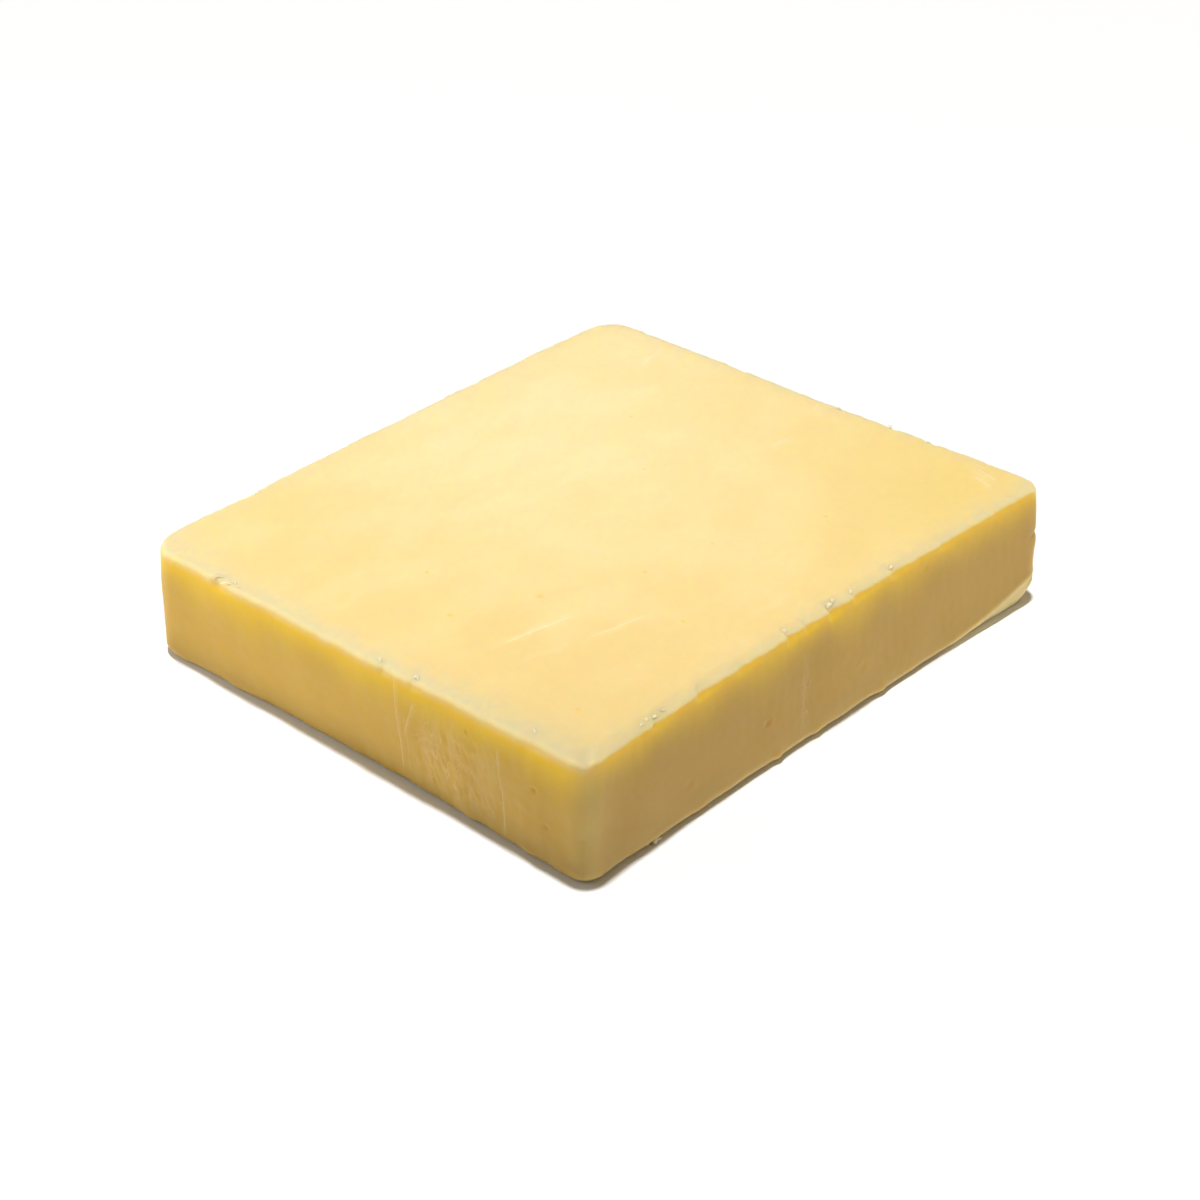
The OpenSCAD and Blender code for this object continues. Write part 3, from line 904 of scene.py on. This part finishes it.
def newGroup(name, inputs, outputs):
    group = bpy.data.node_groups.new(name, "ShaderNodeTree")
    for label, kind, value in inputs:
        socket = group.interface.new_socket(label, in_out="INPUT", socket_type=kind)
        if value is not None:
            socket.default_value = value
    for label in outputs:
        group.interface.new_socket(label, in_out="OUTPUT", socket_type="NodeSocketFloat")
    return group, addNode(group, "NodeGroupInput"), addNode(group, "NodeGroupOutput")


def noiseNode(tree, vector, scale, detail, roughness=0.5):
    node = addNode(tree, "ShaderNodeTexNoise")
    tree.links.new(vector, node.inputs["Vector"])
    if isinstance(scale, bpy.types.NodeSocket):
        tree.links.new(scale, node.inputs["Scale"])
    else:
        node.inputs["Scale"].default_value = scale
    node.inputs["Detail"].default_value = detail
    node.inputs["Roughness"].default_value = roughness
    return node.outputs[0]


def makeCurdClouds():
    # broad clouds and small flecks, sized in millimetres and drawn out by Stretch
    group, given, result = newGroup(
        "curdClouds",
        (("Vector", "NodeSocketVector", None), ("Cloud Size", "NodeSocketFloat", 12.0),
         ("Fleck Size", "NodeSocketFloat", 2.5), ("Stretch", "NodeSocketVector", (1, 1, 1))),
        ("Cloud", "Fleck"))
    drawn = addNode(group, "ShaderNodeVectorMath", operation="MULTIPLY")
    group.links.new(given.outputs["Vector"], drawn.inputs[0])
    group.links.new(given.outputs["Stretch"], drawn.inputs[1])
    cloudScale = compute(group, "DIVIDE", 1 / mm, given.outputs["Cloud Size"])
    fleckScale = compute(group, "DIVIDE", 1 / mm, given.outputs["Fleck Size"])
    cloud = noiseNode(group, drawn.outputs[0], cloudScale, 2.5, 0.5)
    fleck = noiseNode(group, drawn.outputs[0], fleckScale, 3.0, 0.6)
    group.links.new(stretch(group, cloud, 0.32, 0.68), result.inputs["Cloud"])
    group.links.new(stretch(group, fleck, 0.35, 0.70), result.inputs["Fleck"])
    return group


def makeWaxGrain():
    # the fine skin of pressed cheese: a low pebble and a finer tooth, and a roughness with the pebble
    group, given, result = newGroup(
        "waxGrain",
        (("Vector", "NodeSocketVector", None), ("Pebble Size", "NodeSocketFloat", 1.6),
         ("Tooth Size", "NodeSocketFloat", 0.35), ("Tooth Share", "NodeSocketFloat", 0.35)),
        ("Height", "Roughness"))
    vector = given.outputs["Vector"]
    pebbleScale = compute(group, "DIVIDE", 1 / mm, given.outputs["Pebble Size"])
    toothScale = compute(group, "DIVIDE", 1 / mm, given.outputs["Tooth Size"])
    pebble = noiseNode(group, vector, pebbleScale, 2.0, 0.5)
    tooth = noiseNode(group, vector, toothScale, 2.0, 0.6)
    blend = addNode(group, "ShaderNodeMix", data_type="FLOAT")
    for slot, socket in ((0, given.outputs["Tooth Share"]), (2, pebble), (3, tooth)):
        group.links.new(socket, blend.inputs[slot])
    group.links.new(blend.outputs[0], result.inputs["Height"])
    group.links.new(stretch(group, pebble, 0.3, 0.7), result.inputs["Roughness"])
    return group


def makeSpot():
    # a soft round mark at Centre, 1 in its middle and 0 past Radius
    group, given, result = newGroup(
        "roundSpot",
        (("Vector", "NodeSocketVector", None), ("Centre", "NodeSocketVector", (0, 0, 0)),
         ("Radius", "NodeSocketFloat", 1.0)),
        ("Mask",))
    away = addNode(group, "ShaderNodeVectorMath", operation="DISTANCE")
    group.links.new(given.outputs["Vector"], away.inputs[0])
    group.links.new(given.outputs["Centre"], away.inputs[1])
    share = compute(group, "DIVIDE", away.outputs["Value"], given.outputs["Radius"])
    group.links.new(stretch(group, share, 1.0, 0.35), result.inputs["Mask"])
    return group


def makeFoldLine():
    # a thin straight mark from From to To, 1 on its line and 0 past Width, fading over its two ends
    group, given, result = newGroup(
        "foldLine",
        (("Vector", "NodeSocketVector", None), ("From", "NodeSocketVector", (0, 0, 0)),
         ("To", "NodeSocketVector", (1, 0, 0)), ("Width", "NodeSocketFloat", 0.1)),
        ("Mask",))

    def vectorMath(operation, first, second, output="Vector"):
        node = addNode(group, "ShaderNodeVectorMath", operation=operation)
        group.links.new(first, node.inputs[0])
        group.links.new(second, node.inputs["Scale" if operation == "SCALE" else 1])
        return node.outputs[output]

    run = vectorMath("SUBTRACT", given.outputs["To"], given.outputs["From"])
    here = vectorMath("SUBTRACT", given.outputs["Vector"], given.outputs["From"])
    share = compute(group, "DIVIDE", vectorMath("DOT_PRODUCT", here, run, "Value"),
                    vectorMath("DOT_PRODUCT", run, run, "Value"))
    away = vectorMath("DISTANCE", here, vectorMath("SCALE", run, share), "Value")
    line = stretch(group, compute(group, "DIVIDE", away, given.outputs["Width"]), 1.0, 0.1)
    ends = compute(group, "MULTIPLY", stretch(group, share, 0.0, 0.12), stretch(group, share, 1.0, 0.85))
    group.links.new(compute(group, "MULTIPLY", line, ends), result.inputs["Mask"])
    return group


def placeGroup(tree, group, vector, **values):
    node = addNode(tree, "ShaderNodeGroup", node_tree=group)
    tree.links.new(vector, node.inputs["Vector"])
    for key, value in values.items():
        node.inputs[key.replace("_", " ")].default_value = value
    return node


def startFinish(name, finish):
    # a material with its shader's plain values set, and the place on the piece that its patterns read
    material = bpy.data.materials.new(name)
    material.use_nodes = True
    tree = material.node_tree
    tree.nodes.clear()
    shader = addNode(tree, "ShaderNodeBsdfPrincipled")
    output = addNode(tree, "ShaderNodeOutputMaterial")
    tree.links.new(shader.outputs[0], output.inputs[0])
    shader.inputs["Specular IOR Level"].default_value = finish["specular"]
    shader.inputs["Subsurface Weight"].default_value = finish["scatterShare"]
    shader.inputs["Subsurface Radius"].default_value = finish["scatter"]
    shader.inputs["Subsurface Scale"].default_value = finish["scatterDepth"] * mm
    place = addNode(tree, "ShaderNodeTexCoord").outputs["Object"]
    return material, tree, shader, place


def addWaver(tree, vector):
    # the place moved by up to half the waver either way, so that no line on it is ruled
    reach = folds["waver"] * mm
    waver = addNode(tree, "ShaderNodeTexNoise")
    tree.links.new(vector, waver.inputs["Vector"])
    waver.inputs["Scale"].default_value = folds["waverScale"]
    waver.inputs["Detail"].default_value = 1.0
    offset = addNode(tree, "ShaderNodeVectorMath", operation="MULTIPLY_ADD")
    tree.links.new(waver.outputs["Color"], offset.inputs[0])
    offset.inputs[1].default_value = (reach,) * 3
    tree.links.new(vector, offset.inputs[2])
    centred = addNode(tree, "ShaderNodeVectorMath", operation="SUBTRACT")
    tree.links.new(offset.outputs[0], centred.inputs[0])
    centred.inputs[1].default_value = (reach / 2,) * 3
    return centred.outputs[0]


def scaleAxes(tree, vector, scale):
    # a place with each axis drawn out or, at 0, flattened
    node = addNode(tree, "ShaderNodeVectorMath", operation="MULTIPLY")
    tree.links.new(vector, node.inputs[0])
    node.inputs[1].default_value = scale
    return node.outputs[0]


def weigh(tree, mask, share):
    return compute(tree, "MULTIPLY", mask, share)


def strongest(tree, masks):
    # the largest of several masks
    total = masks[0]
    for mask in masks[1:]:
        total = compute(tree, "MAXIMUM", total, mask)
    return total


def addBump(tree, shader, height, finish):
    node = addNode(tree, "ShaderNodeBump")
    node.inputs["Strength"].default_value = finish["bumpStrength"]
    node.inputs["Distance"].default_value = finish["bumpDepth"] * mm
    tree.links.new(height, node.inputs["Height"])
    tree.links.new(node.outputs[0], shader.inputs["Normal"])


def addFold(tree, squareOn, ends, width, strength):
    # one fold line on the place as seen square on to its face
    start, end = ends
    line = placeGroup(tree, foldLine, squareOn, From=start, To=end, Width=width * mm)
    return weigh(tree, line.outputs[0], strength)


def foldMasks(tree, place, wavered, masks):
    # the folds of the left side, kept off the other sides and the top, and those of the top face
    leftView, topView = scaleAxes(tree, wavered, (0, 1, 1)), scaleAxes(tree, wavered, (1, 1, 0))
    left = [addFold(tree, leftView, ((0, y1 * mm, z1 * mm), (0, y2 * mm, z2 * mm)), width, strength)
            for y1, z1, y2, z2, width, strength in folds["left"]]
    top = [addFold(tree, topView, ((x1 * mm, y1 * mm, 0), (x2 * mm, y2 * mm, 0)), width, strength)
           for x1, y1, x2, y2, width, strength in folds["top"]]
    gone, whole = folds["leftFrom"]
    leftOnly = stretch(tree, weigh(tree, addSplit(tree, place, "X"), -1.0), gone * mm, whole * mm)
    leftFolds = weigh(tree, weigh(tree, strongest(tree, left), leftOnly), masks["wall"])
    topFolds = weigh(tree, strongest(tree, top), compute(tree, "SUBTRACT", 1.0, masks["wall"]))
    return leftFolds, topFolds


def scratchMask(tree, place, masks):
    # thin lines where a drawn-out noise crosses its middle value, only in the film patches
    noise = noiseNode(tree, scaleAxes(tree, place, scratches["stretch"]), scratches["scale"], 1.0)
    offLine = compute(tree, "ABSOLUTE", compute(tree, "SUBTRACT", noise, 0.5))
    scratch = weigh(tree, stretch(tree, offLine, *scratches["width"]), masks["film"])
    return weigh(tree, scratch, scratches["strength"])


def makeTopColour(tree, wavered, masks, clouds, topFolds):
    # the top face: clouds of paler cheese, deeper yellow towards one corner, spots, smears and folds
    topView = scaleAxes(tree, wavered, (1, 1, 0))
    drift = compute(tree, "MULTIPLY_ADD", clouds.outputs["Cloud"], 0.36, -0.18)
    milky = compute(tree, "ADD", masks["milky"], drift)
    colour = mixColour(tree, milky, cheese["top"], cheese["topPale"])
    colour = mixColour(tree, weigh(tree, masks["deep"], 0.9), colour, cheese["topDeep"])
    colour = mixColour(tree, weigh(tree, clouds.outputs["Fleck"], 0.10), colour, cheese["topDeep"])
    marked = []
    for x, y, radius in spots:
        spot = placeGroup(tree, roundSpot, topView, Centre=(x * mm, y * mm, 0), Radius=radius * mm)
        marked.append(spot.outputs[0])
    colour = mixColour(tree, weigh(tree, strongest(tree, marked), 0.5), colour, cheese["spot"])
    colour = mixColour(tree, weigh(tree, masks["smear"], 0.35), colour, cheese["smear"])
    return mixColour(tree, topFolds, colour, cheese["smear"])


def makeSideColour(tree, masks, streaks, filmMarks):
    # the sides: tan that is partly painted shade, deeper in upright streaks, greener and darker low down
    # (partly painted shade), a painted glow under the rim, a painted highlight up the front left corner,
    # pale on the film's marks, and painted light on the facet at the front right corner's foot
    tan = mixColour(tree, weigh(tree, streaks.outputs["Cloud"], 0.6), cheese["tan"], cheese["tanDeep"])
    tan = mixColour(tree, weigh(tree, masks["front"], 0.9), tan, cheese["tanFront"])
    # greener and darker low down, partly painted shade
    lowColour = mixColour(tree, masks["front"], cheese["low"], cheese["lowFront"])
    colour = mixColour(tree, weigh(tree, masks["low"], 0.8), tan, lowColour)
    # painted glow of light through the skin under the rim
    paintedGlowColour = mixColour(tree, masks["front"], cheese["gold"], cheese["paintedGlowFront"])
    colour = mixColour(tree, masks["gold"], colour, paintedGlowColour)
    # painted highlight up the front left corner
    colour = mixColour(tree, weigh(tree, masks["corner"], 0.6), colour, cheese["corner"])
    colour = mixColour(tree, filmMarks, colour, cheese["crease"])
    # painted light on the facet at the front right corner's foot, along the front foot and up that corner
    return mixColour(tree, weigh(tree, masks["facet"], 0.8), colour, cheese["facet"])


def makeCheese():
    material, tree, shader, place = startFinish("cheddarFinish", cheese)
    masks = {}
    for name in maskNames:
        masks[name] = addNode(tree, "ShaderNodeAttribute", attribute_name=name).outputs["Fac"]
    clouds = placeGroup(tree, curdClouds, place, Cloud_Size=14.0, Fleck_Size=2.6, Stretch=(0.8, 1.1, 1.0))
    streaks = placeGroup(tree, curdClouds, place, Cloud_Size=11.0, Fleck_Size=1.3, Stretch=(1.0, 1.0, 0.6))
    upright = placeGroup(tree, curdClouds, place, Cloud_Size=2.4, Fleck_Size=0.8, Stretch=(1.0, 1.0, 0.12))
    grain = placeGroup(tree, waxGrain, place, Pebble_Size=1.8, Tooth_Size=0.4, Tooth_Share=0.35)
    crust = placeGroup(tree, waxGrain, place, Pebble_Size=2.6, Tooth_Size=0.8, Tooth_Share=0.3)
    wavered = addWaver(tree, place)
    leftFolds, topFolds = foldMasks(tree, place, wavered, masks)
    scratch = scratchMask(tree, place, masks)
    filmStreak = weigh(tree, masks["film"], upright.outputs["Cloud"])
    pressed = compute(tree, "MULTIPLY_ADD", filmStreak, 0.16, weigh(tree, masks["crease"], 0.7))
    topColour = makeTopColour(tree, wavered, masks, clouds, topFolds)
    sideColour = makeSideColour(tree, masks, streaks, strongest(tree, [pressed, leftFolds, scratch]))
    # the sides' darker colour is partly painted shade, the top's paler one partly painted light
    colour = mixColour(tree, masks["wall"], topColour, sideColour)

    # rim: pale crust that breaks up in grains towards the top face
    grains = compute(tree, "MULTIPLY_ADD", crust.outputs["Roughness"], 0.3, -0.15)
    broken = compute(tree, "MULTIPLY_ADD", grains, weigh(tree, masks["rim"], 1.2), masks["rim"])
    rimMask = compute(tree, "MINIMUM", compute(tree, "MAXIMUM", broken, 0.0), 1.0)
    rimColour = mixColour(tree, masks["front"], cheese["rim"], cheese["rimGrey"])
    colour = mixColour(tree, rimMask, colour, rimColour)
    colour = mixColour(tree, masks["shade"], colour, cheese["nearShade"], "MULTIPLY")
    tree.links.new(colour, shader.inputs["Base Color"])

    # rougher on the crust, smoother on the creases
    rough = compute(tree, "MULTIPLY_ADD", grain.outputs["Roughness"], 0.14, cheese["roughness"] - 0.07)
    rough = compute(tree, "MULTIPLY_ADD", rimMask, 0.10, rough)
    rough = compute(tree, "MULTIPLY_ADD", masks["crease"], -0.12, rough)
    tree.links.new(rough, shader.inputs["Roughness"])

    height = compute(tree, "MULTIPLY_ADD", masks["rim"], crust.outputs["Height"], grain.outputs["Height"])
    height = compute(tree, "MULTIPLY_ADD", filmStreak, 0.8, height)
    height = compute(tree, "MULTIPLY_ADD", strongest(tree, [leftFolds, scratch]), 1.4, height)
    height = compute(tree, "MULTIPLY_ADD", topFolds, 0.9, height)
    addBump(tree, shader, height, cheese)
    return material


def makeShaving():
    material, tree, shader, place = startFinish("shavingFinish", shaving)
    clouds = placeGroup(tree, curdClouds, place, Cloud_Size=1.6, Fleck_Size=0.5, Stretch=(1.0, 1.0, 1.0))
    grain = placeGroup(tree, waxGrain, place, Pebble_Size=0.6, Tooth_Size=0.2, Tooth_Share=0.4)
    colour = mixColour(tree, clouds.outputs["Cloud"], shaving["pale"], shaving["deep"])
    tree.links.new(colour, shader.inputs["Base Color"])
    rough = compute(tree, "MULTIPLY_ADD", grain.outputs["Roughness"], 0.15, shaving["roughness"])
    tree.links.new(rough, shader.inputs["Roughness"])
    addBump(tree, shader, grain.outputs["Height"], shaving)
    return material


curdClouds = makeCurdClouds()
waxGrain = makeWaxGrain()
roundSpot = makeSpot()
foldLine = makeFoldLine()
cheddarFinish = makeCheese()
shavingFinish = makeShaving()
for piece, material in ((block, cheddarFinish), (edgeFlakes, shavingFinish), (footCrumbs, shavingFinish)):
    piece.data.materials.append(material)
    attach(piece, "root")
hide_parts("cheddar_block")
print("cheese finishes made")


# Floor, light and camera
studio = {
    "floorColour": (0.93, 0.95, 0.98),
    "floorRoughness": 0.9,
    "floorReach": 3.0,                 # metres from its middle to its edges
    "keyStrength": 2.9,
    "keyHeight": 88.5,                 # degrees above the floor
    "keyTurn": -15.0,                  # where it stands, in degrees from +Y towards +X
    "keySpread": 4.0,
    "skyColour": (1.0, 0.82, 0.52),    # warm, so that the slab's narrow shadow is brown
    "skyStrength": 0.15,
    "panels": (                        # place, aim, size and power of the soft panels beside the slab
        ((-240, 180, 110), (-66, 40, 12), 200, 0.27),
        ((200, -240, 110), (45, -57, 12), 200, 0.09),
    ),
}
view = {
    "turn": 47.6,                      # degrees from looking along +Y towards +X
    "drop": 31.18,                     # degrees below the horizon
    "lens": 87.0,
    "distance": 571.3,
    "aim": (6.41, 6.12, 0.0),
}


def makeStage():
    size = studio["floorReach"]
    corners = [(-size, -size, 0), (size, -size, 0), (size, size, 0), (-size, size, 0)]
    mesh = bpy.data.meshes.new("floor")
    mesh.from_pydata(corners, [], [(0, 1, 2, 3)])
    floor = bpy.data.objects.new("floor", mesh)
    bpy.context.scene.collection.objects.link(floor)
    material = bpy.data.materials.new("paleFloor")
    material.use_nodes = True
    shader = material.node_tree.nodes["Principled BSDF"]
    shader.inputs["Base Color"].default_value = (*studio["floorColour"], 1)
    shader.inputs["Roughness"].default_value = studio["floorRoughness"]
    mesh.materials.append(material)


def aimLight(light, place, towards):
    holder = bpy.data.objects.new(light.name, light)
    bpy.context.scene.collection.objects.link(holder)
    holder.location = place
    holder.rotation_euler = (place - towards).to_track_quat("Z", "Y").to_euler()
    holder.visible_camera = False


def makeLights():
    turn, lift = math.radians(studio["keyTurn"]), math.radians(studio["keyHeight"])
    key = bpy.data.lights.new("keyLight", "SUN")
    key.energy = studio["keyStrength"]
    key.angle = math.radians(studio["keySpread"])
    standing = Vector((math.cos(lift) * math.sin(turn), math.cos(lift) * math.cos(turn), math.sin(lift)))
    aimLight(key, standing, Vector())
    for n, (place, aim, size, power) in enumerate(studio["panels"]):
        panel = bpy.data.lights.new("sidePanel%d" % (n + 1), "AREA")
        panel.size = size * mm
        panel.energy = power
        aimLight(panel, Vector(place) * mm, Vector(aim) * mm)
    world = bpy.data.worlds.new("studio")
    bpy.context.scene.world = world
    world.use_nodes = True
    sky = world.node_tree.nodes["Background"]
    sky.inputs["Color"].default_value = (*studio["skyColour"], 1)
    sky.inputs["Strength"].default_value = studio["skyStrength"]


def makeCamera():
    turn, drop = math.radians(view["turn"]), math.radians(view["drop"])
    forward = Vector((math.cos(drop) * math.sin(turn), math.cos(drop) * math.cos(turn), -math.sin(drop)))
    data = bpy.data.cameras.new("camera")
    data.lens = view["lens"]
    data.sensor_width = 36.0
    data.clip_start, data.clip_end = 0.01, 50.0
    camera = bpy.data.objects.new("camera", data)
    bpy.context.scene.collection.objects.link(camera)
    camera.location = Vector(view["aim"]) * mm - forward * view["distance"] * mm
    camera.rotation_euler = forward.to_track_quat("-Z", "Y").to_euler()
    bpy.context.scene.camera = camera


makeStage()
makeLights()
makeCamera()
bpy.context.scene.view_settings.view_transform = "Standard"
print("floor, light and camera set")
